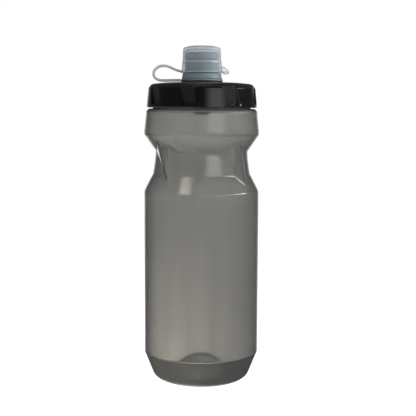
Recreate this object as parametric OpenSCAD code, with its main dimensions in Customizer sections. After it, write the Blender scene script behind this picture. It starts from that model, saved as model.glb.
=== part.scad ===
// Squeezable cycling water bottle: a waisted body, a screw lid, a twist-lock nozzle
// with a self-sealing mouthpiece, and a tethered dust cap.
// Origin: centre of the foot plane. +Z runs up the bottle's axis, the pull tab is on +X,
// the tether loop is on -X, and the front is -Y. All sizes are millimetres.

/* [Body] */
// Outside diameter of the barrel, which a bottle cage holds
body_d = 74; // [73.6:0.1:74.4]
// Wall thickness of the squeezable body
wall = 1.2; // [1:0.1:1.4]
// Height where the barrel ends and the grip waist begins
barrel_top = 122.6; // [118:0.2:123]
// Radius of the waist at its narrowest
waist_r = 29.6; // [29.2:0.1:30]
// Height of the pushed-up dome in the base
push_up = 14; // [8:0.5:16]

/* [Neck and screw thread] */
// Outside radius of the neck
neck_r = 30.6; // [30.5:0.05:30.7]
// Height of the bottle's mouth above the foot
mouth_z = 187.6; // [187.2:0.1:187.6]
// Rise of the screw thread in one turn
pitch = 5; // [4.6:0.1:5.4]
// Height of the thread's ridge from the neck
thread_h = 1.2; // [1:0.1:1.3]

/* [Lid] */
// Radius of the lid at its lower edge
lid_r = 35.3; // [35.2:0.1:35.6]
// Number of grip recesses round the lid
grip_count = 8; // [4:1:8]
// Depth of the grip recesses at the lid's lower edge
grip_depth = 1.9; // [1:0.1:1.9]

/* [Nozzle and dust cap] */
// Outside radius of the soft mouthpiece
mouth_r = 10.6; // [10.2:0.1:10.6]
// Outside radius of the twist collar at its foot
collar_r = 12.9; // [12.5:0.1:12.9]
// Outside radius of the dust cap's rim
cap_rim_r = 13.3; // [13.1:0.1:13.6]
// Width of the tether strap
strap_w = 3.4; // [2.5:0.1:4]
// Thickness of the tether strap
strap_t = 1.7; // [1.2:0.1:1.8]

/* [Hidden] */
$fn = 96;

body_r = body_d / 2;
// Foot: a flat ring, a fillet and a chamfer up to the barrel
foot_fillet = 7.24;
foot_flat_r = body_r - 12.06;
foot_inner_r = foot_flat_r - 3.4;
chamfer_top = 17.9;
chamfer_tilt = 21.8;
// Waist: a long taper between a lower slope and an upper slope
waist_low_z = 133.4;
waist_crease_z = 148.2;
shoulder_z = 158.6;
shoulder_top = 175;
neck_root_z = 176;
// Lid
lid_low_z = 175.6;
lid_chamfer_z = 187.7;
lid_deck_z = 189.2;  // underside of the lid's deck
lid_top_z = 191.7;
boss_z = 192.5;
lid_bore_r = 32.6;
grip_step = 360 / grip_count;
// Valve
stem_r = 5.2;
stem_bore_r = 3.9;
stem_low_z = 171;
stem_top_z = 203.2;
post_r = 8.4;        // upstand on the lid that the twist collar snaps over
post_top_z = 195.6;
port_w = 5;
port_z = [198.6, 201.6];
barrel_r = 8.3;      // inner barrel of the twist collar, inside the mouthpiece
cap_clear = 0.4;     // gap between the mouthpiece and the dust cap

function polar(a, r, z) = [r * sin(a), -r * cos(a), z];

function arc(c, r, from, to, n) =
    [for (i = [0:n]) let (a = from + (to - from) * i / n) c + r * [cos(a), sin(a)]];

function left_normal(a, b) = let (d = (b - a) / norm(b - a)) [-d[1], d[0]];

// Moves an outline sideways by t, mitred at its corners
function inset(p, t) = [for (i = [0:len(p) - 1]) let (
        a = left_normal(p[max(i - 1, 0)], p[max(i, 1)]),
        b = i < len(p) - 1 ? left_normal(p[i], p[i + 1]) : a)
    p[i] + t * (a + b) / (1 + a * b)];

// Half outline of the body from the dome's centre, out along the foot and up to the mouth
function body_outline() = concat(
    [for (i = [0:6]) let (r = foot_inner_r * i / 6)
        [r, push_up * (1 - pow(r / foot_inner_r, 2))]],
    arc([foot_flat_r, foot_fillet], foot_fillet, -90, -chamfer_tilt, 6),
    [[body_r, chamfer_top], [body_r, barrel_top],
     [waist_r + 1.7, waist_low_z], [waist_r + 1, 138], [waist_r + 0.4, 142],
     [waist_r, waist_crease_z], [body_r - 0.25, shoulder_z], [body_r - 0.15, 160.5],
     [body_r - 0.34, 162.5]],
    arc([33.85, shoulder_top - 1.7], 1.7, 6, 90, 4),
    [[neck_r + 0.6, shoulder_top], [neck_r + 0.6, neck_root_z], [neck_r, neck_root_z + 0.6],
     [neck_r, mouth_z]]);

// One grip ridge of the waist: it leans across the waist from the shoulder to the barrel
module grip_ridge(t) {
    corners = [[18, waist_r - 0.2, 148], [36, 34.1, 154.9], [59, waist_r - 0.2, 148],
               [55, 33.7, 128.6], [42, 31, 133.8]];
    n = len(corners);
    points = concat([for (c = corners) polar(c[0], c[1] - t, c[2])],
                    [for (c = corners) polar(c[0], 20, c[2])]);
    outer = [[0, 1, 4], [1, 3, 4], [1, 2, 3]];
    faces = concat(outer,
        [for (f = outer) [f[2] + n, f[1] + n, f[0] + n]],
        [for (i = [0:n - 1]) let (j = (i + 1) % n) [j, i, i + n]],
        [for (i = [0:n - 1]) let (j = (i + 1) % n) [j, i + n, j + n]]);
    polyhedron(points = points, faces = faces);
}

// The body's solid form, t inside its outer skin
module body_form(t, top) {
    outline = inset(body_outline(), t);
    rotate_extrude()
        polygon(concat([[0, push_up + t]], [for (p = outline) if (p[0] > 1) p],
                       [[neck_r - t, top], [0, top]]));
    for (k = [0:3]) rotate(90 * k) grip_ridge(t);
}

// A screw thread's ridge: a trapezium swept up a helix, with tapered ends.
// side is 1 for a ridge on the outside of root_r and -1 for one on the inside.
module thread_ridge(root_r, height, side, z0, turns) {
    steps = ceil(turns * 36);
    base = 2.2;
    crest = 0.9;
    sink = 0.4;
    rings = [for (i = [0:steps]) let (
            a = 360 * turns * i / steps,
            z = z0 + pitch * a / 360,
            grow = max(0.05, min(1, min(i, steps - i) / 4)),
            r1 = root_r - side * sink, r2 = root_r + side * height * grow)
        [polar(a, r1, z - base / 2), polar(a, r2, z - crest / 2),
         polar(a, r2, z + crest / 2), polar(a, r1, z + base / 2)]];
    points = [for (ring = rings) each ring];
    walls = [for (i = [0:steps - 1], j = [0:3]) let (
            a = 4 * i + j, b = 4 * i + (j + 1) % 4)
        each [[a, b, b + 4], [a, b + 4, a + 4]]];
    last = 4 * steps;
    faces = concat([[0, 3, 2], [0, 2, 1]], walls,
                   [[last, last + 1, last + 2], [last, last + 2, last + 3]]);
    polyhedron(points = points,
               faces = side < 0 ? [for (f = faces) [f[2], f[1], f[0]]] : faces);
}

module bottle_body() {
    color([0.50, 0.50, 0.48, 0.7]) union() {
        difference() {
            body_form(0, mouth_z);
            body_form(wall, mouth_z + 1);
        }
        thread_ridge(neck_r, thread_h, 1, 180, 1.25);
    }
}

// Cutter for one slanted grip recess: a steep left side and a wedge-shaped right side
module grip_recess() {
    low = lid_low_z + 2.1;
    high = 188.6;
    floor_r = lid_r - grip_depth;
    inner = floor_r - 0.5;
    outer = lid_r + 0.7;
    points = [polar(-18.5, inner, low), polar(-8.3, inner, low),
              polar(1.1, outer, low), polar(-18.5, outer, low),
              polar(-23.6, inner, high), polar(-9.6, inner, high),
              polar(-5.3, outer, high), polar(-23.6, outer, high)];
    intersection() {
        polyhedron(points = points, faces = [for (q = [[3, 2, 1, 0], [4, 5, 6, 7],
                [0, 1, 5, 4], [1, 2, 6, 5], [2, 3, 7, 6], [3, 0, 4, 7]])
            each [[q[0], q[1], q[2]], [q[0], q[2], q[3]]]]);
        difference() {
            translate([0, 0, low - 1]) cylinder(r = outer + 2, h = high - low + 2);
            translate([0, 0, low - 2]) cylinder(r = floor_r, h = high - low + 4);
        }
    }
}

module lid() {
    color([0.06, 0.06, 0.06]) union() {
        difference() {
            rotate_extrude() polygon([[stem_r + 0.4, lid_low_z], [lid_r, lid_low_z],
                [lid_r - 1.1, lid_chamfer_z], [32.3, 190], [30.8, 190.6], [24, 191.3],
                [13.6, lid_top_z], [13.1, lid_top_z + 0.3], [13.1, boss_z], [post_r, boss_z],
                [post_r, post_top_z - 1], [post_r + 0.4, post_top_z - 0.8],
                [post_r, post_top_z], [stem_r + 0.4, post_top_z]]);
            // inside of the skirt
            rotate_extrude() polygon([[0, lid_low_z - 9], [lid_bore_r, lid_low_z - 9],
                [lid_bore_r, lid_low_z + 12], [31.4, lid_deck_z - 0.3], [31.1, lid_deck_z],
                [0, lid_deck_z]]);
            // seat of the stem's O-ring
            translate([0, 0, lid_deck_z - 1]) cylinder(r = 7.6, h = 2.8);
            for (k = [0:grip_count - 1]) rotate(grip_step * k) grip_recess();
        }
        thread_ridge(lid_bore_r, thread_h + 0.1, -1, 177.5, 1.15);
    }
}

module lid_seal() {
    color([0.75, 0.75, 0.73]) rotate_extrude()
        polygon([[28.6, mouth_z + 0.2], [29, mouth_z + 0.1], [30.6, mouth_z + 0.1],
                 [30.8, mouth_z + 0.4], [30.8, lid_deck_z - 0.2], [30.5, lid_deck_z - 0.1],
                 [28.8, lid_deck_z - 0.1], [28.6, lid_deck_z - 0.3]]);
}

module valve_stem() {
    color([0.12, 0.13, 0.14]) difference() {
        rotate_extrude() polygon([[0, stem_low_z], [stem_r - 1, stem_low_z],
            [stem_r, stem_low_z + 1], [stem_r, lid_deck_z - 1.3], [8.2, lid_deck_z - 1.3],
            [8.2, lid_deck_z - 0.1], [stem_r, lid_deck_z - 0.1], [stem_r, post_top_z + 0.1],
            [stem_r + 0.8, post_top_z + 0.1], [stem_r, post_top_z + 0.8],
            [stem_r, stem_top_z - 0.5], [stem_r - 0.5, stem_top_z], [0, stem_top_z]]);
        translate([0, 0, stem_low_z - 1])
            cylinder(r = stem_bore_r, h = stem_top_z - 1.2 - stem_low_z + 1);
        translate([-stem_r - 1, -port_w / 2, port_z[0]])
            cube([2 * stem_r + 2, port_w, port_z[1] - port_z[0]]);
    }
}

module o_ring(r, section, z) {
    translate([0, 0, z]) rotate_extrude() translate([r, 0]) circle(r = section, $fn = 32);
}

module stem_o_ring() { color([0.15, 0.15, 0.15]) o_ring(6.45, 0.85, 190.05); }

module base_o_ring() { color([0.15, 0.15, 0.15]) o_ring(7.6, 0.38, post_top_z + 0.45); }

module nozzle_base() {
    deck = 197.3;
    top = 205.8;
    bead_z = 201.5;
    running = 0.05;
    color([0.40, 0.46, 0.50]) difference() {
        rotate_extrude() polygon([[stem_r + running, deck - 1], [post_r + 0.15, 193.8],
            [collar_r - 0.2, 193.7], [collar_r, 193.9], [collar_r - 0.4, 195.5],
            [collar_r - 0.5, deck - 0.4], [collar_r - 0.9, deck], [barrel_r, deck],
            [barrel_r, bead_z - 0.5], [barrel_r + 0.5, bead_z], [barrel_r, bead_z + 0.5],
            [barrel_r, top], [7, top], [7, 202.9], [stem_r + running, 202.9]]);
        // room for the lid's post and its snap bead
        rotate_extrude() polygon([[0, 190], [post_r + 0.15, 190], [post_r + 0.15, 194.3],
            [post_r + 0.8, 194.5], [post_r + 0.8, post_top_z + 0.9], [0, post_top_z + 0.9]]);
        // room for the barb on the stem
        translate([0, 0, 196]) cylinder(r = stem_r + 1.2, h = 1.5);
        for (s = [0, 180]) rotate(s)
            translate([stem_r - 0.6, -port_w / 2, port_z[0]]) cube([2.6, port_w, 10]);
    }
}

module mouthpiece() {
    low = 197.5;
    top = 210.6;
    groove_z = 205.5;
    color([0.43, 0.50, 0.54]) rotate_extrude() polygon(concat(
        [[barrel_r + 0.1, low], [mouth_r + 0.2, low], [mouth_r + 0.2, low + 1],
         [mouth_r, low + 1.4], [mouth_r, groove_z - 0.8], [mouth_r - 0.7, groove_z - 0.3],
         [mouth_r - 0.7, groove_z + 0.3], [mouth_r, groove_z + 0.8]],
        arc([mouth_r - 1.8, top - 1.8], 1.8, 0, 90, 5),
        [[6.2, top], [5.8, top - 0.4], [5.8, 208.7], [8, 208.7], [8, 207.1], [6.9, 207.1],
         [6.9, 205.9], [barrel_r + 0.1, 205.9], [barrel_r + 0.1, 202.1],
         [barrel_r + 0.6, 201.6], [barrel_r + 0.6, 201.4], [barrel_r + 0.1, 200.9]]));
}

module slit_valve() {
    color([0.60, 0.66, 0.70]) difference() {
        rotate_extrude() polygon([[0, 206.4], [3, 206.6], [5.8, 207.2], [7.9, 207.2],
            [7.9, 208.6], [5.6, 208.6], [4.8, 208.1], [2.6, 207.5], [0, 207.3]]);
        for (a = [0, 90]) rotate(a) cube([5.6, 0.16, 450], center = true);
    }
}

// Plan outline of the pull tab: straight sides and a round tip
module tab_plan(w, reach) {
    translate([11.5, -w / 2]) square([reach - 11.5 - w / 3, w]);
    for (s = [-1, 1]) translate([reach - w / 3, s * w / 6]) circle(r = w / 3);
    translate([reach - w / 3, -w / 6]) square([w / 3, w / 3]);
}

module dust_cap() {
    low = 197.6;
    rim_top = 199;
    inner_r = mouth_r + cap_clear;
    shell_r = inner_r + 1.7;
    color([0.78, 0.81, 0.82, 0.6]) difference() {
        union() {
            rotate_extrude() polygon(concat(
                [[0, low], [cap_rim_r - 0.3, low], [cap_rim_r, low + 0.3],
                 [cap_rim_r, rim_top - 0.3], [cap_rim_r - 0.3, rim_top], [shell_r + 0.2, rim_top],
                 [shell_r - 0.1, 203], [shell_r - 0.4, 205.6], [shell_r - 0.7, 210.6]],
                arc([shell_r - 3.5, 210.9], 2.8, 0, 75, 5),
                [[8.6, 213.7], [8.2, 214.3], [7.8, 214.5], [0, 214.5]]));
            // pull tab, a wedge that thins towards its tip
            intersection() {
                translate([0, 0, low - 0.8]) linear_extrude(6) tab_plan(9, 17.3);
                translate([0, 10, 0]) rotate([90, 0, 0]) linear_extrude(20)
                    polygon([[11.5, low + 0.2], [13.2, low + 0.2], [13.8, low - 0.8],
                             [17.4, low - 0.8], [17.4, 199.4], [14, 201.3], [11.5, 202.2]]);
            }
        }
        rotate_extrude() polygon([[0, low - 2], [inner_r + 0.2, low - 2],
            [inner_r + 0.2, low + 1.6], [inner_r, low + 2], [inner_r, 210.8], [9.4, 212.4],
            [0, 212.4]]);
    }
}

// Centre line of the tether in the XZ plane, from the dust cap's rim round to the ring
strap_route = [[-12.2, 198.3], [-16.8, 199.6], [-20.4, 201.2], [-24, 202.1], [-27.4, 201.5],
               [-30, 199.4], [-30.9, 196.9], [-29.8, 194.4], [-27, 193], [-23, 192.8],
               [-18, 192.9], [-13.3, 193]];

// A point on the smooth curve through p, u steps along it
function along(p, u) = let (
        n = len(p) - 1, i = min(floor(u), n - 1), f = u - i,
        a = p[max(i - 1, 0)], b = p[i], c = p[i + 1], d = p[min(i + 2, n)])
    0.5 * (2 * b + (c - a) * f + (2 * a - 5 * b + 4 * c - d) * f * f
           + (3 * b - a - 3 * c + d) * f * f * f);

module tether_strap() {
    per_step = 4;
    line = [for (i = [0:per_step * (len(strap_route) - 1)]) along(strap_route, i / per_step)];
    right = inset(line, -strap_t / 2);
    left = inset(line, strap_t / 2);
    color([0.86, 0.87, 0.87]) intersection() {
        translate([0, strap_w / 2, 0]) rotate([90, 0, 0]) linear_extrude(strap_w)
            polygon(concat(left, [for (i = [len(right) - 1:-1:0]) right[i]]));
        difference() {
            translate([0, 0, 190]) cylinder(r = 34, h = 20);
            translate([0, 0, 195]) cylinder(r = cap_rim_r + 0.05, h = 20);
            translate([0, 0, 189]) cylinder(r = 13.55, h = 8);
        }
    }
}

module tether_ring() {
    color([0.86, 0.87, 0.87]) difference() {
        translate([0, 0, boss_z + 0.05]) cylinder(r = 13.5, h = 0.95);
        translate([0, 0, boss_z - 1]) cylinder(r = post_r + 0.9, h = 4);
    }
}

bottle_body();
lid();
lid_seal();
valve_stem();
stem_o_ring();
nozzle_base();
base_o_ring();
mouthpiece();
slit_valve();
dust_cap();
tether_strap();
tether_ring();
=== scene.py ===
"""Finished look of a squeezable cycling bottle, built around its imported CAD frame.

The bottle stands on z = 0 with its axis on Z, the pull tab on +X and the tether on -X.
Outlines are in millimetres, as (radius, height), and meshes are made in metres.
"""

import math

import bmesh
import bpy
import numpy as np
from mathutils import Matrix, Vector


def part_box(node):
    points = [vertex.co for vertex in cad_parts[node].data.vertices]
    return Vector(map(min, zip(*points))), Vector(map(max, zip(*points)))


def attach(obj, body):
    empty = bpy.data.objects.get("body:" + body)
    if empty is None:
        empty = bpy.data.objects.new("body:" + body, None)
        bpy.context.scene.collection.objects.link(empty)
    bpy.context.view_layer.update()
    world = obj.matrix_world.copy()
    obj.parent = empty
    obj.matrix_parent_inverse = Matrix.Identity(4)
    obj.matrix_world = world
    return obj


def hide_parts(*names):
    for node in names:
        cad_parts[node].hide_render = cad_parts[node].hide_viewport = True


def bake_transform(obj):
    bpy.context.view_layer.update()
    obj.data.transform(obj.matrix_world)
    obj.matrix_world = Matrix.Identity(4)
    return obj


bl_info = {
    "name": "Cycling Bottle",
    "version": (1, 0, 0),
    "blender": (4, 5, 0),
    "location": "View3D > Sidebar > Bottle",
    "description": "Builds a squeeze bottle with a screw lid, a twist nozzle and a dust cap",
    "category": "Object",
}

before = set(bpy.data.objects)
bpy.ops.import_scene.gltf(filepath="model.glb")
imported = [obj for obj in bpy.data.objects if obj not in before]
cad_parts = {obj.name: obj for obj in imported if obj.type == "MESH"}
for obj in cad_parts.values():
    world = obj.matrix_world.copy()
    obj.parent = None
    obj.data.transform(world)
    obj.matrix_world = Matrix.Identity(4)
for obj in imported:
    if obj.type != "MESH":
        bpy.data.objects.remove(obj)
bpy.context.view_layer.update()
MM = 0.001


def node_box(node):
    """A CAD node's lowest and highest corners in millimetres."""
    low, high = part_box(node)
    return np.array(low) / MM, np.array(high) / MM


BODY_LOW, BODY_HIGH = node_box("bottle_body")
LID_LOW, LID_HIGH = node_box("lid")
SEAL_LOW, SEAL_HIGH = node_box("lid_seal")
BASE_LOW, BASE_HIGH = node_box("nozzle_base")
MOUTH_LOW, MOUTH_HIGH = node_box("mouthpiece")
SLIT_LOW, SLIT_HIGH = node_box("slit_valve")
CAP_LOW, CAP_HIGH = node_box("dust_cap")
RING_LOW, RING_HIGH = node_box("tether_ring")
BODY_R = float(BODY_HIGH[0])
BODY_REACH = float(min(*BODY_HIGH[:2], *-BODY_LOW[:2])) - 0.001
FOOT_FILLET = 7.24
FOOT_FLAT_R = BODY_R - 12.06
FOOT_LEAN = 21.8  # degrees off upright, from the foot to the barrel
FOOT_TOP = 17.9
DOME_R = BODY_R - 15.46
DOME_RISE = 14
WAIST_Z = 148.2
NECK_R = BODY_R - 6.4
MOUTH_Z = float(BODY_HIGH[2])
LID_R = float(LID_HIGH[0])
LID_Z = float(LID_LOW[2])
LID_BORE_R = LID_R - 2.7
DECK_Z = 189.2  # underside of the lid's deck
RECESS_LOW, RECESS_HIGH = LID_Z + 2.1, 188.7
RECESS_WIDTH = 17.2  # degrees


# ---------------------------------------------------------------- outlines and meshes

def arc(centre, radius, start, end, steps):
    """Points on an arc, with its angles in degrees."""
    turn = np.radians(np.linspace(start, end, steps + 1))
    return [(centre[0] + radius * math.cos(a), centre[1] + radius * math.sin(a)) for a in turn]


def rounded(corners, steps=4):
    """An outline through (radius, height, fillet) corners, with each fillet as an arc."""
    points = []
    last = len(corners) - 1
    for i, (r, z, fillet) in enumerate(corners):
        here = np.array((r, z), float)
        if fillet <= 0 or i in (0, last):
            points.append((r, z))
            continue
        to_last = np.array(corners[i - 1][:2], float) - here
        to_next = np.array(corners[i + 1][:2], float) - here
        back, ahead = to_last / np.linalg.norm(to_last), to_next / np.linalg.norm(to_next)
        half = math.acos(float(np.clip(back @ ahead, -1, 1))) / 2
        reach = min(fillet / math.tan(half), np.linalg.norm(to_last) * 0.49,
                    np.linalg.norm(to_next) * 0.49)
        start, end = here + back * reach, here + ahead * reach
        centre = here + (back + ahead) / np.linalg.norm(back + ahead) * reach / math.cos(half)
        for step in np.linspace(0, 1, steps + 1):
            away = start + (end - start) * step - centre
            points.append(tuple(centre + away / np.linalg.norm(away) * reach * math.tan(half)))
    return points


def subdivided(points, spacing):
    """The outline with its long stretches cut so that no step passes spacing(height)."""
    out = [points[0]]
    for a, b in zip(points, points[1:]):
        length = math.dist(a, b)
        pieces = max(1, math.ceil(length / spacing((a[1] + b[1]) / 2)))
        out += [(a[0] + (b[0] - a[0]) * k / pieces, a[1] + (b[1] - a[1]) * k / pieces)
                for k in range(1, pieces + 1)]
    return out


def smoothstep(low, high, value):
    """0 below low, 1 above high, and a smooth rise between."""
    t = np.clip((value - low) / (high - low), 0, 1)
    return t * t * (3 - 2 * t)


def soft_max(a, b, radius):
    """The larger of two heights, with the crease between them rounded."""
    blend = np.clip(0.5 + (a - b) / (2 * radius), 0, 1)
    return b + (a - b) * blend + radius * blend * (1 - blend)


def soft_min(a, b, radius):
    """The smaller of two heights, with the crease between them rounded."""
    return -soft_max(-a, -b, radius)


def add_object(name, vertices, faces, sharp=40):
    """A smooth-shaded object from vertices in millimetres."""
    mesh = bpy.data.meshes.new(name)
    mesh.from_pydata([tuple(float(c) * MM for c in v) for v in vertices], [], faces)
    work = bmesh.new()
    work.from_mesh(mesh)
    bmesh.ops.remove_doubles(work, verts=work.verts, dist=1e-7)
    bmesh.ops.recalc_face_normals(work, faces=work.faces)
    work.to_mesh(mesh)
    work.free()
    mesh.shade_smooth()
    mesh.set_sharp_from_angle(angle=math.radians(sharp))
    obj = bpy.data.objects.new(name, mesh)
    bpy.context.scene.collection.objects.link(obj)
    return obj


def turned(name, outline, columns, shape=None, closed=True, sharp=40):
    """An outline turned about Z at the given column angles, measured from -Y towards +X.

    shape(radius, height, angle) may move each point; closed joins the outline's two ends.
    """
    line = np.array(outline, float)
    angles = np.radians(np.asarray(columns, float))
    if angles.ndim == 1:
        angles = np.tile(angles, (len(line), 1))
    radius = np.tile(line[:, :1], (1, angles.shape[1]))
    height = np.tile(line[:, 1:], (1, angles.shape[1]))
    if shape:
        radius, height = shape(radius, height, angles)
    grid = np.stack([radius * np.sin(angles), -radius * np.cos(angles), height], axis=-1)
    rows, count = angles.shape
    faces = []
    for i in range(rows if closed else rows - 1):
        a, b = i * count, ((i + 1) % rows) * count
        faces += [(a + j, a + (j + 1) % count, b + (j + 1) % count, b + j) for j in range(count)]
    return add_object(name, grid.reshape(-1, 3), faces, sharp)


def tube_faces(rings, around):
    """Faces of a closed tube whose points come ring after ring."""
    faces = []
    for i in range(rings - 1):
        a, b = i * around, (i + 1) * around
        for j in range(around):
            k = (j + 1) % around
            faces.append((a + j, a + k, b + k, b + j))
    faces.append(tuple(range(around)))
    faces.append(tuple((rings - 1) * around + j for j in range(around)))
    return faces


def oblong(turn, power):
    """Both parts of a point on a unit loop that squares up as power falls below 1."""
    c, s = math.cos(turn), math.sin(turn)
    return math.copysign(abs(c) ** power, c), math.copysign(abs(s) ** power, s)


def ring_columns(count):
    """Evenly spaced column angles in degrees."""
    return np.arange(count) * 360 / count


def helix_ridge(z, angle, start, pitch, turns, width, stand):
    """How far a rounded screw thread stands out at each point of a wall."""
    out = np.zeros_like(z)
    sweep = np.degrees(angle) % 360
    for lap in range(math.ceil(turns) + 1):
        along = (sweep + 360 * lap) / 360
        inside = smoothstep(0, 0.06, along) * (1 - smoothstep(turns - 0.06, turns, along))
        away = np.abs(z - (start + pitch * along))
        out = np.maximum(out, stand * inside * (1 - smoothstep(width * 0.22, width * 0.5, away)))
    return out


# ---------------------------------------------------------------- materials

class Signal:
    """A shader socket that can be used in arithmetic, which adds Math nodes."""

    def __init__(self, graph, socket):
        self.graph = graph
        self.socket = socket

    def math(self, operation, *values):
        """A Math node's result."""
        return self.graph.node("ShaderNodeMath", {"operation": operation}, dict(enumerate(values)))

    def __add__(self, other):
        return self.math("ADD", self, other)

    def __radd__(self, other):
        return self.math("ADD", other, self)

    def __sub__(self, other):
        return self.math("SUBTRACT", self, other)

    def __rsub__(self, other):
        return self.math("SUBTRACT", other, self)

    def __mul__(self, other):
        return self.math("MULTIPLY", self, other)

    def __rmul__(self, other):
        return self.math("MULTIPLY", other, self)

    def __pow__(self, other):
        return self.math("POWER", self, other)


class Graph:
    """A material's or world's nodes, added one call at a time."""

    def __init__(self, owner):
        owner.use_nodes = True
        self.tree = owner.node_tree
        self.tree.nodes.clear()

    def node(self, kind, settings, inputs, output=0):
        """Adds a node: its settings first, then the values or links of its sockets."""
        made = self.tree.nodes.new(kind)
        for key, value in settings.items():
            setattr(made, key, value)
        for key, value in inputs.items():
            self.feed(made.inputs[key], value)
        return None if output is None else Signal(self, made.outputs[output])

    def feed(self, socket, value):
        """Links a signal to the socket, or sets its plain value."""
        if isinstance(value, Signal):
            self.tree.links.new(value.socket, socket)
        else:
            socket.default_value = value

    def axis(self, vector, letter):
        """One of a vector's three numbers."""
        return self.node("ShaderNodeSeparateXYZ", {}, {0: vector}, letter)

    def between(self, factor, first, second):
        """A colour mixed from first to second by factor."""
        ends = [end if isinstance(end, Signal) else (*end, 1) for end in (first, second)]
        return self.node("ShaderNodeMix", {"data_type": "RGBA"},
                         {0: factor, 6: ends[0], 7: ends[1]}, 2)

    def step(self, value, low, high):
        """0 below low, 1 above high, and a smooth rise between."""
        return self.node("ShaderNodeMapRange", {"interpolation_type": "SMOOTHSTEP"},
                         {"Value": value, "From Min": low, "From Max": high})

    def band(self, value, low, high, fade):
        """1 between low and high, and a smooth fall to 0 over fade on either side."""
        return self.step(value, low - fade, low) * (1.0 - self.step(value, high, high + fade))


class Surface(Graph):
    """A Principled material and the signals that its patterns are made of."""

    def __init__(self, name):
        self.material = bpy.data.materials.new(name)
        super().__init__(self.material)
        self.shader = self.tree.nodes.new("ShaderNodeBsdfPrincipled")
        output = self.tree.nodes.new("ShaderNodeOutputMaterial")
        self.tree.links.new(self.shader.outputs[0], output.inputs["Surface"])

    def set(self, **values):
        """Sets or links the shader's own sockets, named with underscores for spaces."""
        for key, value in values.items():
            self.feed(self.shader.inputs[key.replace("_", " ")], value)
        return self

    def place(self):
        """The point on the object, in metres."""
        return self.node("ShaderNodeTexCoord", {}, {}, "Object")

    def height(self):
        """The point's height above the foot, in metres."""
        return self.axis(self.place(), "Z")

    def away(self):
        """The point's distance from the bottle's axis, in metres."""
        flat = self.node("ShaderNodeVectorMath", {"operation": "MULTIPLY"},
                         {0: self.place(), 1: (1, 1, 0)})
        return self.node("ShaderNodeVectorMath", {"operation": "LENGTH"}, {0: flat}, "Value")

    def noise(self, scale, detail=3.0, roughness=0.5, stretch=(1, 1, 1)):
        """Noise from 0 to 1 at so many features a metre."""
        point = self.node("ShaderNodeMapping", {}, {"Vector": self.place(), "Scale": stretch})
        return self.node("ShaderNodeTexNoise", {},
                         {"Vector": point, "Scale": scale, "Detail": detail, "Roughness": roughness})

    def bump(self, height, strength, distance):
        """Small relief; distance is in metres."""
        return self.node("ShaderNodeBump", {},
                         {"Strength": strength, "Distance": distance, "Height": height})


def smoke_plastic(look):
    """Frosted, squeezable, smoke-tinted polyethylene, darker edge on and on its foot as painted
    shade, and lighter on its inner dome as painted light.
    """
    made = Surface("smoke_plastic")
    cloud = made.noise(26, 2)
    grain = made.noise(2600, 3, 0.6)
    streak = made.noise(90, 3, 0.55, (1, 1, 0.06))
    edge = made.node("ShaderNodeLayerWeight", {}, {"Blend": 0.5}, "Facing") ** 2.4
    height = made.height()
    lean = math.radians(FOOT_LEAN)
    corner = (BODY_R * math.cos(lean) - FOOT_TOP * math.sin(lean)) * MM
    # painted shade on the foot: outside, seen and low mask the front of the outer foot chamfer below
    # 18 mm, which the base colour darkens
    outside = made.step(made.away() * math.cos(lean) - height * math.sin(lean),
                        corner - 0.0007, corner - 0.0005)
    seen = 1.0 - made.node("ShaderNodeNewGeometry", {}, {}, "Backfacing")
    low = (1.0 - made.step(height, 0.0177, 0.0184)) * outside * seen
    tint = list(look.body_colour)
    light = made.between(cloud * 0.3 + streak * 0.7, [c * 0.76 for c in tint],
                         [min(1, c * 1.25) for c in tint])
    # darker tint where the body narrows at the waist, above 10 cm; the wall is modelled no thicker
    # there
    narrow = made.step(height, 0.10, 0.11) * (1.0 - made.step(made.away(), 0.0305, 0.0350))
    thick = made.between(narrow * 0.42, light, [c * 0.72 for c in tint])
    # painted shade: the base colour darkens edge on
    shaded = made.between(edge, thick, [c * 0.35 for c in tint])
    # painted light: the inner dome's tint is lifted to pale grey, so that the foot looks lit through
    # it
    dome = (1.0 - made.step(made.away(), 0.0195, 0.0225)) * (1.0 - made.step(height, 0.017, 0.018))
    shaded = made.between(dome * 0.85, shaded, [0.92, 0.90, 0.87])
    made.set(
        # painted shade: the base colour is darkened on the front of the foot's outer chamfer
        Base_Color=made.between(low * look.painted_foot_shade, shaded, [0.085, 0.10, 0.092]),
        Roughness=(look.body_roughness + cloud * 0.04 + streak * 0.04 + low * 0.45
                   + made.step(height, 0.1720, 0.1738) * 0.25),
        Normal=made.bump(grain * 0.2 + streak * 2.0, 0.12, 0.0001),
    )
    made.set(Transmission_Weight=look.body_transmission, IOR=look.body_ior,
             Coat_Weight=0.6 - 0.55 * made.step(height, 0.1485, 0.1500), Coat_Roughness=0.06,
             Specular_IOR_Level=0.1)
    return made.material


def floor_radius(look):
    """Radius of the lid's recess floors, in metres."""
    return (LID_R - look.grip_depth) * MM


def black_plastic(look):
    """Injection-moulded black polypropylene with a satin grain."""
    made = Surface("black_plastic")
    grain = made.noise(5200, 2, 0.6)
    flow = made.noise(120, 4, 0.6, (1, 1, 0.3))
    handling = made.noise(420, 6, 0.7)
    dark = list(look.lid_colour)
    recess_r = floor_radius(look)
    recess = 1.0 - made.step(made.away(), recess_r + 0.00015, recess_r + 0.0004)
    plain = made.between(flow, dark, [c * 1.6 for c in dark])
    made.set(
        Base_Color=made.between(recess, plain, look.recess_colour),
        Specular_IOR_Level=0.4,
        Roughness=0.07 + flow * 0.08 + handling * 0.06 + recess * 0.12,
        Normal=made.bump(grain * 0.6 + flow * 0.8, 0.08, 0.00008),
    )
    return made.material


def soft_rubber(name, colour, shine=0.45, depth=0.00006):
    """Moulded silicone or rubber: fine grain, faint cloudiness and a soft sheen."""
    made = Surface(name)
    cloud = made.noise(160, 3)
    grain = made.noise(4200, 3, 0.6)
    made.set(
        Base_Color=made.between(cloud, [c * 0.88 for c in colour],
                                [min(1, c * 1.12) for c in colour]),
        Roughness=shine + cloud * 0.12,
        Normal=made.bump(grain + cloud * 0.5, 0.25, depth),
    )
    return made.material


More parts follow.
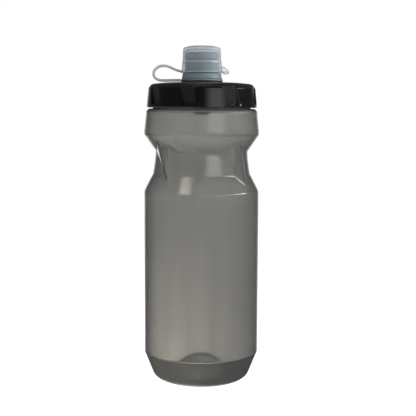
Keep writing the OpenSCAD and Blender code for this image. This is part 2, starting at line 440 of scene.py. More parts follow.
def hard_plastic(name, colour, shine=0.35):
    """Plain moulded plastic with flow marks."""
    made = Surface(name)
    flow = made.noise(140, 4, 0.6, (1, 1, 0.4))
    grain = made.noise(3800, 3, 0.6)
    made.set(
        Base_Color=made.between(flow, [c * 0.9 for c in colour], [min(1, c * 1.1) for c in colour]),
        Roughness=shine + flow * 0.12,
        Normal=made.bump(grain + flow * 0.6, 0.2, 0.00006),
    )
    return made.material


def cap_plastic(look):
    """Clear cap plastic gone milky: thicker, so whiter, at its bead and rim, less clear edge on, and
    darker edge on as painted shade.
    """
    made = Surface("clear_plastic")
    cloud = made.noise(60, 3, 0.5, (1, 1, 3))
    rings = made.noise(700, 2, 0.5, (0.02, 0.02, 1))
    edge = made.node("ShaderNodeLayerWeight", {}, {"Blend": 0.5}, "Facing") ** 2.0
    height = made.height()
    bead = made.band(height, 0.2042, 0.2049, 0.0004)
    rim = made.band(height, 0.1979, 0.1986, 0.0003)
    crown = made.step(height, 0.2104, 0.2124)
    tint = list(look.cap_colour)
    milk = made.between(cloud, [c * 0.88 for c in tint], [c * 1.04 for c in tint])
    made.set(
        # painted shade: the base colour darkens edge on, except on the crown
        Base_Color=made.between(edge * (1.0 - crown), milk, [0.38 * c for c in tint]),
        Roughness=0.22 + cloud * 0.08,
        Alpha=(look.cap_milk + edge * 0.75 + bead * 0.25 + rim * 0.25 + crown * 0.12
               + rings * 0.14),
        Normal=made.bump(rings, 0.1, 0.0001),
    )
    return made.material


def milky_plastic(name, tint, clearness, shine):
    """Frosted clear plastic with faint clouds, fine grain and flow marks."""
    made = Surface(name)
    cloud = made.noise(150, 3)
    flow = made.noise(220, 4, 0.6, (0.4, 0.4, 1))
    grain = made.noise(3400, 3, 0.6)
    made.set(
        Base_Color=made.between(cloud, [c * 0.94 for c in tint], [min(1, c * 1.05) for c in tint]),
        Roughness=shine + cloud * 0.08 + flow * 0.08,
        Normal=made.bump(grain * 0.5 + flow, 0.03, 0.00006),
    )
    made.set(Transmission_Weight=clearness, IOR=1.45)
    return made.material


# ---------------------------------------------------------------- the bottle's body

def waist_facets():
    """The flat faces of one grip ridge, as planes (normal, distance) about the bottle's axis."""
    def spot(angle, radius, height):
        a = math.radians(angle)
        return np.array([radius * math.sin(a), -radius * math.cos(a), height])

    waist = BODY_R - 7.3
    heel = spot(18, waist, WAIST_Z)
    top = spot(36, BODY_R - 2.7, 154.9)
    toe = spot(42, waist + 1.6, 133.4)
    low_near = spot(52.4, BODY_R - 3.0, 128.2)
    low_far = spot(57.5, BODY_R - 3.2, 128.6)
    back = spot(59, waist, WAIST_Z)
    crest = spot(49, BODY_R - 4.1, 150.4)
    faces = []
    for a, b, c in ((heel, top, toe), (top, low_near, toe), (top, low_far, low_near),
                    (crest, back, low_far)):
        normal = np.cross(b - a, c - a)
        normal /= np.linalg.norm(normal)
        if normal[:2] @ a[:2] < 0:
            normal = -normal
        faces.append((normal, float(normal @ a)))
    return faces


def grip_ridges(radius, height, angle):
    """The waist's radius with its four leaning ridges, as they run into the slopes."""
    quarter = (np.degrees(angle) + 20) % 90 - 20
    local = np.radians(quarter)
    reaches = []
    for normal, distance in waist_facets():
        facing = normal[0] * np.sin(local) - normal[1] * np.cos(local)
        reaches.append(np.clip((distance - normal[2] * height) / np.maximum(facing, 0.05), 0, 1e3))
    ridge = reaches[0]
    for reach in reaches[1:]:
        ridge = soft_min(ridge, reach, 0.12)
    along = smoothstep(129, 131, height) * (1 - smoothstep(153, 154.5, height))
    for side in (reaches[1], reaches[3]):
        crest = 1 - smoothstep(0.05, 0.40, np.abs(reaches[2] - side))
        ridge = ridge - 0.30 * crest * (reaches[2] < ridge + 0.7) * along
    ridge = np.where((quarter > 8) & (quarter < 67), ridge, 0)
    return soft_max(radius, ridge, 0.22)


def body_outline():
    """Outer half outline from the dome's centre down, along the foot and up to the mouth."""
    dome = [(r, DOME_RISE * (1 - (r / DOME_R) ** 2)) for r in np.linspace(0, DOME_R - 1.2, 14)]
    foot = arc((FOOT_FLAT_R, FOOT_FILLET), FOOT_FILLET, -90, -FOOT_LEAN, 8)
    wall = rounded([
        (*foot[-1], 0), (BODY_R, FOOT_TOP, 3), (BODY_R, 122.6, 2.6), (BODY_R - 5.7, 133.4, 3.5),
        (BODY_R - 6.4, 138, 12), (BODY_R - 7.0, 142, 12), (BODY_R - 7.4, 146.5, 3),
        (BODY_R - 7.3, WAIST_Z, 0.8), (BODY_R - 0.3, 158.4, 1.4), (BODY_R - 0.15, 160.5, 1.2),
        (BODY_R - 1.5, 173.2, 1.9), (BODY_R - 3.2, 175, 1.4),
        (BODY_R - 5.8, 175, 0.4), (BODY_R - 5.8, 176, 0.2), (NECK_R, 176.6, 0.2),
        (NECK_R, MOUTH_Z, 0.35), (BODY_R - 7.6, MOUTH_Z, 0.35), (BODY_R - 7.6, 186, 0)])
    lip = [(DOME_R - 0.4, 0.35), (DOME_R + 0.5, 0)]
    return dome + lip + foot[:-1] + wall


def inside_outline(wall):
    """Inner half outline from the neck down to the dome's centre."""
    dome = [(r, wall + DOME_RISE * (1 - (r / DOME_R) ** 2))
            for r in np.linspace(DOME_R - 1.6, 0, 12)]
    trough = arc((FOOT_FLAT_R, FOOT_FILLET), FOOT_FILLET - wall, -FOOT_LEAN, -90, 6)
    neck = NECK_R - wall
    down = rounded([
        (neck, 186, 0), (neck, 174.4, 0.8), (BODY_R - 3.2, 173.9, 1.0), (BODY_R - 2.7, 172.6, 0.6),
        (BODY_R - 1.35, 160.5, 1), (BODY_R - 1.5, 159.2, 1), (BODY_R - 8.5, 148.9, 0.8),
        (BODY_R - 8.6, 146.5, 2), (BODY_R - 7.6, 138, 6), (BODY_R - 6.9, 133.1, 2),
        (BODY_R - wall, 122.3, 1), (BODY_R - wall, 18.1, 2), (*trough[0], 0)])
    return down + trough[1:] + dome


def make_body(look):
    """The blown body: one closed shell with its grip waist, foot, dome and threaded neck."""
    def spacing(z):
        """Fine rows over the grip and the thread."""
        if 127 < z < 158:
            return 0.6
        return 0.5 if z > 176.4 else 4.0

    outside = subdivided(body_outline(), spacing)
    inside = subdivided(inside_outline(look.wall), lambda z: 1.8 if 126 < z < 158 else 5.0)[1:]
    outline = np.array(outside + inside)
    outer_rows = len(outside)

    def shape(radius, height, angle):
        """Adds the grip ridges to both skins and the thread to the neck."""
        out = radius.copy()
        ridged = (height > 126) & (height < 158)
        shaped = grip_ridges(radius, height, angle)
        out[:outer_rows] = np.where(ridged, shaped, radius)[:outer_rows]
        inner = grip_ridges(radius + look.wall, height, angle) - look.wall
        out[outer_rows:] = np.where(ridged, inner, radius)[outer_rows:]
        thread = helix_ridge(height, angle, start=180, pitch=look.pitch, turns=1.25, width=2.3,
                             stand=1.2)
        on_neck = (height > 177) & (height < MOUTH_Z - 0.4) & (radius > NECK_R - 0.01)
        out[:outer_rows] += np.where(on_neck, thread, 0)[:outer_rows]
        return np.minimum(out, BODY_REACH), height

    body = turned("bottle_shell", outline, ring_columns(320), shape, closed=False, sharp=50)
    body.data.materials.append(smoke_plastic(look))
    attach(body, "bottle")
    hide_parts("bottle_body")


# ---------------------------------------------------------------- the lid

def recess_edges(height):
    """A recess's left edge, floor end and right edge at a height, in degrees: they slant."""
    rise = np.clip((height - RECESS_LOW) / (RECESS_HIGH - RECESS_LOW), 0, 1)
    left = -18.5 - 5.1 * rise
    return left, -6.8 - 2.1 * rise, left + RECESS_WIDTH


def lid_columns(heights):
    """Column angles of each row: they follow the slanted edges of the eight recesses."""
    left, floor_end, right = recess_edges(heights)
    keys = [left, left + 0.35, floor_end, right, left + 45]
    parts = [2, 6, 5, 12]
    columns = []
    for k in range(8):
        for a, b, n in zip(keys, keys[1:], parts):
            columns += [a + 45 * k + (b - a) * i / n for i in range(n)]
    return np.stack(columns, axis=1)


def make_lid(look):
    """The black screw lid: recessed grip, domed deck, upstand and inner thread."""
    post, bore = 8.4, 5.6
    outer = rounded([
        (post, 195.6, 0), (post + 0.4, 194.8, 0), (post, 194.6, 0), (post, 192.5, 0.1),
        (13.1, 192.5, 0.35), (13.4, 191.75, 0.25), (24, 191.3, 20), (30.8, 190.65, 3),
        (32.4, 190, 0.7), (LID_R - 1.15, 187.7, 0.8), (LID_R, LID_Z + 0.5, 0),
        (LID_R - 0.4, LID_Z, 0)], 5)
    inner = rounded([
        (LID_BORE_R + 0.3, LID_Z, 0), (LID_BORE_R, LID_Z + 0.4, 0), (LID_BORE_R, 187.6, 0.5),
        (31.3, 188.9, 0.4), (30.9, DECK_Z, 0), (7.6, DECK_Z, 0.1), (7.6, 191, 0), (bore, 191, 0),
        (bore, 195.3, 0), (bore + 0.3, 195.6, 0)], 3)

    outer_line = subdivided(outer, lambda z: 0.55 if z < 189 else 1.6)
    outline = np.array(outer_line + subdivided(inner, lambda z: 0.42 if z < 187 else 3.0))
    outer_rows = len(outer_line)
    skirt = np.zeros(len(outline), bool)
    skirt[:outer_rows] = outline[:outer_rows, 1] < 190.2
    for z in (RECESS_LOW - 0.25, RECESS_LOW, RECESS_LOW + 0.25, RECESS_HIGH - 0.3, RECESS_HIGH):
        near = int(np.argmin(np.where(skirt, np.abs(outline[:, 1] - z), 1e9)))
        slope_r = np.interp(z, outline[:outer_rows, 1][::-1], outline[:outer_rows, 0][::-1])
        outline[near] = (slope_r, z)

    def shape(radius, height, angle):
        """Cuts the recesses into the skirt and adds the thread to the bore."""
        left, floor_end, _ = recess_edges(height)
        phase = (np.degrees(angle) - left) % 45
        phase = np.where(phase > 44.99, 0, phase)
        floor_width = floor_end - left
        wall = smoothstep(0, 0.35, phase)
        wedge = 1 - np.clip((phase - floor_width) / (RECESS_WIDTH - floor_width), 0, 1)
        window = smoothstep(RECESS_LOW - 0.05, RECESS_LOW + 0.2, height) * (
            1 - smoothstep(RECESS_HIGH - 0.35, RECESS_HIGH + 0.1, height))
        floor = LID_R - look.grip_depth
        depth = np.maximum(radius - floor, 0) * wall * wedge * window
        out = radius.copy()
        out[:outer_rows] -= (depth * skirt[:, None])[:outer_rows]
        thread = helix_ridge(height, angle, start=177.5, pitch=look.pitch, turns=1.15, width=2.3,
                             stand=1.3)
        wall_rows = np.zeros(len(outline), bool)
        wall_rows[outer_rows:] = np.abs(outline[outer_rows:, 0] - LID_BORE_R) < 0.05
        out -= thread * wall_rows[:, None]
        return out, height

    lid = turned("screw_lid", outline, lid_columns(outline[:, 1]), shape, sharp=32)
    lid.data.materials.append(black_plastic(look))
    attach(lid, "lid")
    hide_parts("lid")


def make_seal(look):
    """The silicone ring that the lid presses on the mouth."""
    low, high = float(SEAL_LOW[2]), float(SEAL_HIGH[2])
    outer = float(SEAL_HIGH[0])
    inner = outer - 2.2
    outline = rounded([
        (inner, low + 0.6, 0), (inner, low, 0.25), (inner + 0.7, low, 0.1),
        (inner + 0.85, low + 0.15, 0.1), (inner + 1.2, low + 0.15, 0.1), (inner + 1.35, low, 0.1),
        (outer - 0.2, low, 0.2), (outer, low + 0.3, 0.2), (outer, high, 0.3),
        (inner, high, 0.3), (inner, low + 0.7, 0)], 3)
    seal = turned("lid_gasket", outline, ring_columns(160))
    seal.data.materials.append(soft_rubber("seal_silicone", (0.55, 0.55, 0.53), 0.4))
    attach(seal, "seal")
    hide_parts("lid_seal")


# ---------------------------------------------------------------- the nozzle

def make_collar(look):
    """The twist collar: a flared skirt with fine grip ribs and the barrel inside the mouthpiece."""
    low = float(BASE_LOW[2])
    foot = float(BASE_HIGH[0])
    deck = low + 3.6
    post, barrel = 8.55, 8.3
    outline = rounded([
        (post, low + 0.1, 0), (foot - 0.2, low, 0.1), (foot, low + 0.25, 0.15),
        (foot - 0.35, low + 1.6, 1.5), (foot - 0.5, deck - 0.35, 0.2), (foot - 0.9, deck, 0.25),
        (barrel, deck, 0.1), (barrel, deck + 3.7, 0), (barrel + 0.5, deck + 4.2, 0.1),
        (barrel, deck + 4.7, 0), (barrel, float(BASE_HIGH[2]), 0.3),
        (7, float(BASE_HIGH[2]), 0.2), (7, 202.9, 0.2), (5.25, 202.9, 0.1), (5.25, 197.6, 0.1),
        (6.4, 197.5, 0.1), (6.4, 196.5, 0), (post + 0.65, 196.5, 0.1),
        (post + 0.65, low + 0.8, 0.1), (post, low + 0.6, 0.1), (post, low + 0.3, 0)], 3)
    line = subdivided(outline, lambda z: 0.8)

    def shape(radius, height, angle):
        """Cuts the grip ribs' 40 shallow grooves."""
        groove = 0.10 * (0.5 + 0.5 * np.cos(angle * 40))
        band = smoothstep(low + 0.7, low + 1.1, height) * (
            1 - smoothstep(deck - 0.9, deck - 0.5, height))
        outside = radius > foot - 1.0
        return radius - np.where(outside, groove * band, 0), height

    collar = turned("twist_collar", line, ring_columns(240), shape)
    collar.data.materials.append(hard_plastic("collar_plastic", tuple(look.collar_colour), 0.36))
    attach(collar, "nozzle")
    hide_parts("nozzle_base")


def make_mouthpiece(look):
    """The soft mouthpiece, with a groove round it and a rolled lip."""
    low, high = float(MOUTH_LOW[2]), float(MOUTH_HIGH[2])
    flange = float(MOUTH_HIGH[0])
    r = flange - 0.2
    groove = high - 5.1
    pocket = 8.4
    outline = rounded([
        (pocket, low + 0.5, 0), (pocket, low, 0.1), (flange, low, 0.3), (flange, low + 1, 0.3),
        (r, low + 1.5, 0.3), (r, groove - 0.85, 0.35), (r - 0.7, groove - 0.35, 0.3),
        (r - 0.7, groove + 0.35, 0.3), (r, groove + 0.85, 0.35), (r, high, 1.9),
        (5.8, high, 0.5), (5.8, 208.7, 0.3), (8, 208.7, 0), (8, 207.1, 0), (6.9, 207.1, 0.2),
        (6.9, 205.9, 0), (pocket, 205.9, 0), (pocket, 202.1, 0), (pocket + 0.5, 201.6, 0),
        (pocket + 0.5, 201.4, 0), (pocket, 200.9, 0), (pocket, low + 0.6, 0)], 6)
    piece = turned("soft_mouthpiece", subdivided(outline, lambda z: 1.2), ring_columns(144))
    piece.data.materials.append(soft_rubber("mouth_silicone", tuple(look.mouth_colour), 0.38))
    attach(piece, "nozzle")
    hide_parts("mouthpiece")


def make_slit_valve(look):
    """The self-sealing membrane: a dished disc whose cross slit stands in four soft flaps."""
    low, high = float(SLIT_LOW[2]), float(SLIT_HIGH[2])
    r = float(SLIT_HIGH[0])
    dish = rounded([(0, 207.3, 0), (2.6, 207.5, 1), (4.8, 208.1, 1), (5.6, high, 0.3),
                    (r, high, 0.2), (r, 207.2, 0.2), (5.8, 207.2, 0.5), (3, 206.6, 1),
                    (0, low, 0)], 5)

    def shape(radius, height, angle):
        """Presses the cross slit into the upper face."""
        across = np.minimum(np.abs(radius * np.sin(angle)), np.abs(radius * np.cos(angle)))
        groove = (1 - smoothstep(0.05, 0.22, across)) * (1 - smoothstep(3.4, 3.8, radius))
        upper = height > 207.25 - 0.001
        return radius, height - np.where(upper, 0.28 * groove, 0)

    spaced = subdivided(dish, lambda z: 0.3)
    fine = np.concatenate([q + np.array([-6, -4, -3, -2, -1, 0, 1, 2, 3, 4, 6, 10, 16, 24, 34, 45,
                                         56, 66, 74, 80]) for q in (0, 90, 180, 270)])
    valve = turned("slit_membrane", spaced, fine, shape, closed=False)
    valve.data.materials.append(soft_rubber("valve_silicone", (0.30, 0.38, 0.43), 0.4))
    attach(valve, "nozzle")
    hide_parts("slit_valve")


def finish_inner_parts(look):
    """Gives the valve stem and the O-rings, whose CAD shapes are final, their materials."""
    finishes = {
        "valve_stem": hard_plastic("stem_plastic", (0.02, 0.022, 0.025), 0.4),
        "stem_o_ring": soft_rubber("ring_rubber", (0.02, 0.02, 0.02), 0.5),
    }
    finishes["base_o_ring"] = finishes["stem_o_ring"]
    for node, material in finishes.items():
        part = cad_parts[node]
        part.data.materials.clear()
        part.data.materials.append(material)


# ---------------------------------------------------------------- the dust cap and its tether

def make_dust_cap(look):
    """The clear cap over the mouthpiece: rim, tapered wall, stepped crown and snap bead."""
    low, high = float(CAP_LOW[2]) + 0.8, float(CAP_HIGH[2])
    rim = -float(CAP_LOW[0])
    bore = rim - 2.3
    outline = rounded([
        (0, high, 0), (7.6, high, 2.5), (9.8, high - 0.55, 1.5), (bore + 1.0, high - 1.1, 2.2),
        (bore + 1.3, high - 9.0, 2), (bore + 1.62, high - 11.4, 0.5),
        (bore + 1.85, low + 1.4, 0.25), (rim - 0.1, low + 1.35, 0.3), (rim, low, 0.3),
        (bore + 0.3, low, 0.15), (bore + 0.2, low + 1.6, 0.2), (bore, low + 2, 0.3),
        (bore, 204.6, 0.2), (bore - 0.1, 205, 0.1), (bore - 0.1, 205.9, 0.1), (bore, 206.3, 0.2),
        (bore, 210.8, 0.6), (9.4, 212.4, 0.6), (0, 212.4, 0)], 5)
    cap = turned("clear_dust_cap", subdivided(outline, lambda z: 1.5), ring_columns(144),
                 closed=False)
    cap.data.materials.append(cap_plastic(look))
    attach(cap, "dust_cap")
    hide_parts("dust_cap")


def make_pull_tab(look):
    """The cap's pull tab: a rounded wedge with three finger ridges."""
    low = float(CAP_LOW[2])
    reach = float(CAP_HIGH[0])
    root = 12.3
    vertices = []
    along, around = 26, 32
    for i in range(along + 1):
        t = i / along
        x = root + (reach - root) * math.sin(t * math.pi / 2) ** 0.9
        half = 4.5 * math.sqrt(max(0.0, 1 - max(0.0, (x - 14.2) / (reach - 14.2)) ** 2.6)) + 0.02
        top = 201.6 - 1.05 * max(0.0, x - 14.0) ** 1.1 * 0.62 - 0.10 * (1 + math.cos(x * 7.5))
        bottom = low + (0.0 if x > 13.8 else min(1.2, (13.8 - x) * 1.5))
        middle, thick = (top + bottom) / 2, (top - bottom) / 2
        edge = math.sqrt(max(0.0, 1 - ((x - 14.6) / (reach - 14.6)) ** 4)) if x > 14.6 else 1.0
        for j in range(around):
            side, up = oblong(2 * math.pi * j / around, 0.5)
            vertices.append((x, half * side, middle + thick * (0.25 + 0.75 * edge) * up))
    tab = add_object("cap_pull_tab", vertices, tube_faces(along + 1, around), 50)
    tab.data.materials.append(cap_plastic(look))
    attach(tab, "dust_cap")


STRAP_ROUTE = [(-12.2, 198.3), (-16.8, 199.6), (-20.4, 201.2), (-24, 202.1), (-27.4, 201.5),
               (-30, 199.4), (-30.9, 196.9), (-29.8, 194.4), (-27, 193), (-23, 192.8),
               (-18, 192.9), (-13.3, 193)]


def smooth_route(points, steps):
    """Points along the smooth curve through the given ones."""
    p = np.array(points, float)
    out = []
    for i in range(len(p) - 1):
        a, b, c, d = p[max(i - 1, 0)], p[i], p[i + 1], p[min(i + 2, len(p) - 1)]
        for f in np.arange(steps) / steps:
            out.append(0.5 * (2 * b + (c - a) * f + (2 * a - 5 * b + 4 * c - d) * f * f
                              + (3 * b - a - 3 * c + d) * f ** 3))
    out.append(p[-1])
    return np.array(out)


def make_tether(look):
    """The flexible strap from the cap's rim to its ring, and the ring under the collar."""
    line = smooth_route(STRAP_ROUTE, 8)
    around = 20
    vertices = []
    for i, (x, z) in enumerate(line):
        ahead = line[min(i + 1, len(line) - 1)] - line[max(i - 1, 0)]
        ahead /= np.linalg.norm(ahead)
        side = np.array([-ahead[1], ahead[0]])
        for j in range(around):
            wide, thick = oblong(2 * math.pi * j / around, 0.45)
            wide *= look.strap_width / 2
            thick *= look.strap_thickness / 2
            vertices.append((x + side[0] * thick, wide, z + side[1] * thick))
    material = milky_plastic("tether_plastic", tuple(look.tether_colour), 0.5, 0.35)
    strap = add_object("cap_strap", vertices, tube_faces(len(line), around), 60)
    strap.data.materials.append(material)
    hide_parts("tether_strap")
    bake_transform(strap)

    low, high = float(RING_LOW[2]), float(RING_HIGH[2])
    outer = float(RING_HIGH[0])
    inner = 9.3
    ring = turned("strap_ring", rounded([
        (inner, low + 0.3, 0), (inner, low, 0.15), (outer - 0.1, low, 0.3),
        (outer, low + 0.45, 0.3), (outer - 0.1, high, 0.3), (inner, high, 0.15),
        (inner, low + 0.5, 0)], 4), ring_columns(144))
    ring.data.materials.append(material)
    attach(ring, "lid")
    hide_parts("tether_ring")


# ---------------------------------------------------------------- the stage

LIGHTS_AIM = (0, 0, 0.14)


def soften(lamp):
    """Fades an area light out towards its edges, as a softbox's cloth does."""
    cloth = Graph(lamp)
    place = cloth.node("ShaderNodeNewGeometry", {}, {}, "Parametric")
    across, up = (cloth.band(cloth.axis(place, letter), 0.4, 0.6, 0.4) for letter in "XY")
    shine = cloth.node("ShaderNodeEmission", {}, {"Strength": across * up})
    cloth.node("ShaderNodeOutputLight", {}, {"Surface": shine}, None)


def make_stage(look):
    """Pale floor, soft studio lights and the camera."""
    scene = bpy.context.scene
    scene.view_settings.view_transform = "Standard"
    world = bpy.data.worlds.new("studio")
    scene.world = world
    sky = Graph(world)
    toward = sky.node("ShaderNodeTexCoord", {}, {}, "Generated")
    x, y, z = (sky.axis(toward, letter) for letter in "XYZ")
    glow = sky.step(y, look.glow_edge, 0.97) * (1.0 - sky.step(z, 0.03, 0.12))
    below = (1.0 - sky.step(z, -0.70, -0.35)) * look.floor_share
    behind = sky.between(1.0 - sky.step(z, -0.27, -0.13), look.room_light, look.low_light)
    behind = sky.between(sky.step(x, -0.09, 0.10) * (1.0 - sky.step(z, -0.12, -0.04)),
                         behind, [c * 0.62 for c in look.room_light])
    light = sky.between(glow.math("MAXIMUM", glow, below), look.front_light, behind)
    seen = sky.node("ShaderNodeBackground", {}, {"Color": (1, 1, 1, 1)})
    felt = sky.node("ShaderNodeBackground", {}, {"Color": light})
    camera_ray = sky.node("ShaderNodeLightPath", {}, {}, "Is Camera Ray")
    both = sky.node("ShaderNodeMixShader", {}, {0: camera_ray, 1: felt, 2: seen})
    sky.node("ShaderNodeOutputWorld", {}, {"Surface": both}, None)

    mesh = bpy.data.meshes.new("floor")
    rim = [(look.floor_radius * math.cos(a), look.floor_radius * math.sin(a), 0)
           for a in np.radians(ring_columns(96))]
    mesh.from_pydata(rim, [], [tuple(range(len(rim)))])
    floor = bpy.data.objects.new("floor", mesh)
    scene.collection.objects.link(floor)
    pale = Surface("pale_floor")
    pale.set(Base_Color=(0.4, 0.4, 0.4, 1), Roughness=0.9, Emission_Strength=look.floor_glow,
             Emission_Color=(1, 1, 1, 1))
    mesh.materials.append(pale.material)
    floor.visible_glossy = floor.visible_transmission = False

    white, warm = (1, 1, 1), (1, 0.95, 0.85)
    for name, place, wide, tall, power, colour in (
            ("key_light", (-0.46, -0.56, 0.79), 0.55, 0.36, look.key_power, warm),
            ("side_light", (0.75, -0.55, 0.22), 0.6, 0.9, look.side_power, white),
            ("right_light", (0.95, -0.12, 0.50), 1.10, 0.26, look.right_power, white),
            ("front_light", (0.5, -0.87, 0.32), 1.00, 0.50, look.front_power, white),
            ("top_light", (0.0, 0.05, 1.0), 0.5, 0.5, look.top_power, white)):
        data = bpy.data.lights.new(name, "AREA")
        data.shape = "RECTANGLE"
        data.color = colour
        data.size = wide
        data.size_y = tall
        data.energy = power
        soften(data)
        lamp = bpy.data.objects.new(name, data)
        scene.collection.objects.link(lamp)
        aim = Vector(LIGHTS_AIM) - Vector(place)
        lamp.matrix_world = (Matrix.Translation(place)
                             @ aim.to_track_quat("-Z", "Y").to_matrix().to_4x4())

    data = bpy.data.cameras.new("camera")
    data.sensor_width = 36
    data.lens = look.lens
    data.clip_start = 0.01
    camera = bpy.data.objects.new("camera", data)
    scene.collection.objects.link(camera)
    camera.matrix_world = (
        Matrix.Translation((look.camera_side, -look.camera_distance, LID_Z * MM))
        @ Matrix.Rotation(math.radians(90) - look.camera_tilt, 4, "X")
        @ Matrix.Rotation(look.camera_roll, 4, "Z"))
    scene.camera = camera


# ---------------------------------------------------------------- add-on

class BottleLook(bpy.types.PropertyGroup):
    """Sizes, in millimetres unless a unit is given, and colours that a user may change."""
    wall: bpy.props.FloatProperty(name="Wall", description="Thickness of the body's wall",
                                  default=1.2, min=1, max=1.4)
    pitch: bpy.props.FloatProperty(name="Thread pitch", description="Rise of the thread in a turn",
                                   default=5, min=4.6, max=5.4)
    grip_depth: bpy.props.FloatProperty(name="Grip depth", description="Depth of the lid's recesses",
                                        default=1.9, min=1, max=1.9)
    strap_width: bpy.props.FloatProperty(name="Strap width", description="Width of the tether",
                                         default=3.3, min=2.5, max=3.4)
    strap_thickness: bpy.props.FloatProperty(name="Strap thickness",
                                             description="Thickness of the tether",
                                             default=1.65, min=1.2, max=1.7)
    body_colour: bpy.props.FloatVectorProperty(name="Body colour", description="Tint of the body",
                                               subtype="COLOR", default=(0.515, 0.51, 0.49),
                                               min=0, max=1)
    body_roughness: bpy.props.FloatProperty(name="Body roughness", description="How frosted it is",
                                            subtype="FACTOR", default=0.11, min=0, max=1)
    body_ior: bpy.props.FloatProperty(name="Body index", description="Index of refraction",
                                      default=1.38, min=1.2, max=1.6)
    # painted shade: how dark the front of the foot's outer chamfer is painted
    painted_foot_shade: bpy.props.FloatProperty(name="Foot shade", description="How dark the thick foot is",
                                        subtype="FACTOR", default=0.92, min=0, max=1)
    body_transmission: bpy.props.FloatProperty(name="Body clearness",
                                               description="Share of light the body lets through",
                                               subtype="FACTOR", default=0.9, min=0, max=1)
    lid_colour: bpy.props.FloatVectorProperty(name="Lid colour", description="Colour of the lid",
                                              subtype="COLOR", default=(0.002, 0.002, 0.0022),
                                              min=0, max=1)
    recess_colour: bpy.props.FloatVectorProperty(name="Recess colour",
                                                 description="Colour of the lid's textured recesses",
                                                 subtype="COLOR", default=(0.012, 0.012, 0.013),
                                                 min=0, max=1)
    collar_colour: bpy.props.FloatVectorProperty(name="Collar colour",
                                                 description="Colour of the twist collar",
                                                 subtype="COLOR", default=(0.29, 0.41, 0.48),
                                                 min=0, max=1)
    mouth_colour: bpy.props.FloatVectorProperty(name="Mouthpiece colour",
                                                description="Colour of the mouthpiece",
                                                subtype="COLOR", default=(0.16, 0.24, 0.29),
                                                min=0, max=1)
    cap_colour: bpy.props.FloatVectorProperty(name="Cap tint", description="Tint of the dust cap",
                                              subtype="COLOR", default=(0.68, 0.78, 0.84),
                                              min=0, max=1)
    cap_milk: bpy.props.FloatProperty(name="Cap milkiness", description="How much each skin hides",
                                      subtype="FACTOR", default=0.12, min=0, max=1)
    tether_colour: bpy.props.FloatVectorProperty(name="Tether colour",
                                                 description="Colour of the strap and its ring",
                                                 subtype="COLOR", default=(0.90, 0.90, 0.92),
                                                 min=0, max=1)


class StageLook(bpy.types.PropertyGroup):
    """The camera, the lights and the floor."""
    lens: bpy.props.FloatProperty(name="Lens", description="Focal length in millimetres",
                                  unit="CAMERA", default=80.64, min=20, max=200)
    camera_distance: bpy.props.FloatProperty(name="Distance", description="From the bottle's axis",
                                             unit="LENGTH", default=0.6, min=0.2, max=3)
    camera_side: bpy.props.FloatProperty(name="Side step", description="Camera's shift to the right",
                                         unit="LENGTH", default=0.00431, min=-0.1, max=0.1)
    camera_tilt: bpy.props.FloatProperty(name="Tilt", description="How far the camera looks down",
                                         subtype="ANGLE", default=math.radians(6.14), min=0, max=1)
    camera_roll: bpy.props.FloatProperty(name="Roll", description="Turn about the view's axis",
                                         subtype="ANGLE", default=math.radians(0.284), min=-1, max=1)
    room_light: bpy.props.FloatVectorProperty(name="Light behind", description="Light from behind",
                                              subtype="COLOR", default=(1.06, 1.06, 1.06),
                                              min=0, max=2)
    low_light: bpy.props.FloatVectorProperty(name="Low light behind",
                                             description="Light from low down behind",
                                             subtype="COLOR", default=(1.95, 1.90, 1.74),
                                             min=0, max=2)
    front_light: bpy.props.FloatVectorProperty(name="Light in front",
                                               description="Light from the camera's side",
                                               subtype="COLOR", default=(0.12, 0.12, 0.125),
                                               min=0, max=1)
    floor_glow: bpy.props.FloatProperty(name="Floor glow", description="Light from the floor itself",
                                        default=1.06, min=0, max=2)
    floor_radius: bpy.props.FloatProperty(name="Floor radius", description="Size of the floor",
                                          unit="LENGTH", default=1.5, min=0.1, max=3)
    floor_share: bpy.props.FloatProperty(name="Floor light", description="Light from straight below",
                                         subtype="FACTOR", default=0.35, min=0, max=1)
    glow_edge: bpy.props.FloatProperty(name="Glow edge",
                                       description="Cosine where the light behind ends",
                                       default=0.84, min=-1, max=0.96)
    key_power: bpy.props.FloatProperty(name="Key light", description="Light from the upper left",
                                       unit="POWER", default=2.2, min=0, max=500)
    side_power: bpy.props.FloatProperty(name="Side light", description="Light from the right",
                                        unit="POWER", default=0.35, min=0, max=500)
    right_power: bpy.props.FloatProperty(name="Right light", description="Light from the far right",
                                         unit="POWER", default=12.5, min=0, max=500)
    front_power: bpy.props.FloatProperty(name="Front light", description="Light from the front right",
                                         unit="POWER", default=3.1, min=0, max=500)
    top_power: bpy.props.FloatProperty(name="Top light", description="Light from the top",
                                       unit="POWER", default=2.4, min=0, max=500)


def build(action):
    """Runs an operator's work and reports it finished."""
    action(bpy.context.scene.bottle_look)
    return {"FINISHED"}


class BOTTLE_OT_stage(bpy.types.Operator):
    """Add the floor, lights and camera"""
    bl_idname = "bottle.stage"
    bl_label = "Stage"

    def execute(self, context):
        make_stage(context.scene.bottle_stage)
        return {"FINISHED"}


class BOTTLE_OT_body(bpy.types.Operator):
    """Build the squeezable body"""
    bl_idname = "bottle.body"
    bl_label = "Body"

    def execute(self, context):
        return build(make_body)


class BOTTLE_OT_lid(bpy.types.Operator):
    """Build the screw lid and its seal"""
    bl_idname = "bottle.lid"
    bl_label = "Lid and seal"

    def execute(self, context):
        build(make_lid)
        return build(make_seal)


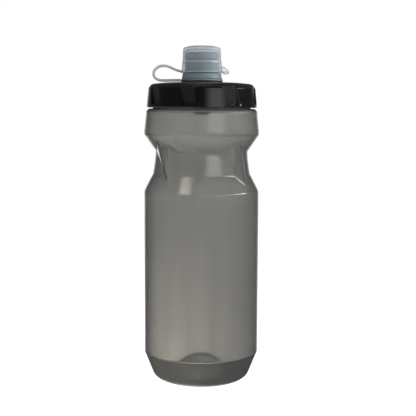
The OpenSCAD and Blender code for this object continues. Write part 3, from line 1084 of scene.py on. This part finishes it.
class BOTTLE_OT_nozzle(bpy.types.Operator):
    """Build the twist collar, mouthpiece and valve, and finish the inner parts"""
    bl_idname = "bottle.nozzle"
    bl_label = "Nozzle"

    def execute(self, context):
        for step in (make_collar, make_mouthpiece, make_slit_valve, finish_inner_parts):
            build(step)
        return {"FINISHED"}


class BOTTLE_OT_dust_cap(bpy.types.Operator):
    """Build the dust cap, its pull tab, the strap and the ring"""
    bl_idname = "bottle.dust_cap"
    bl_label = "Dust cap and tether"

    def execute(self, context):
        look = context.scene.bottle_look
        make_dust_cap(look)
        make_pull_tab(look)
        return build(make_tether)


class BOTTLE_PT_panel(bpy.types.Panel):
    """Lists the bottle's sizes, colours and build steps"""
    bl_label = "Bottle"
    bl_idname = "BOTTLE_PT_panel"
    bl_space_type = "VIEW_3D"
    bl_region_type = "UI"
    bl_category = "Bottle"

    def draw(self, context):
        for group in (context.scene.bottle_look, context.scene.bottle_stage):
            box = self.layout.box()
            for name in group.bl_rna.properties.keys():
                if name not in ("rna_type", "name"):
                    box.prop(group, name)
        for operator in OPERATORS:
            self.layout.operator(operator.bl_idname)


OPERATORS = (BOTTLE_OT_stage, BOTTLE_OT_body, BOTTLE_OT_lid, BOTTLE_OT_nozzle, BOTTLE_OT_dust_cap)
CLASSES = (BottleLook, StageLook, *OPERATORS, BOTTLE_PT_panel)


def register():
    """Registers the classes and gives the scene its property groups."""
    for cls in CLASSES:
        bpy.utils.register_class(cls)
    bpy.types.Scene.bottle_look = bpy.props.PointerProperty(type=BottleLook)
    bpy.types.Scene.bottle_stage = bpy.props.PointerProperty(type=StageLook)


def unregister():
    """Takes back what register did."""
    del bpy.types.Scene.bottle_stage
    del bpy.types.Scene.bottle_look
    for cls in reversed(CLASSES):
        bpy.utils.unregister_class(cls)


def main():
    """Builds the stage and every piece."""
    register()
    bpy.ops.bottle.stage()
    bpy.ops.bottle.body()
    bpy.ops.bottle.lid()
    bpy.ops.bottle.nozzle()
    bpy.ops.bottle.dust_cap()


if __name__ == "__main__":
    main()
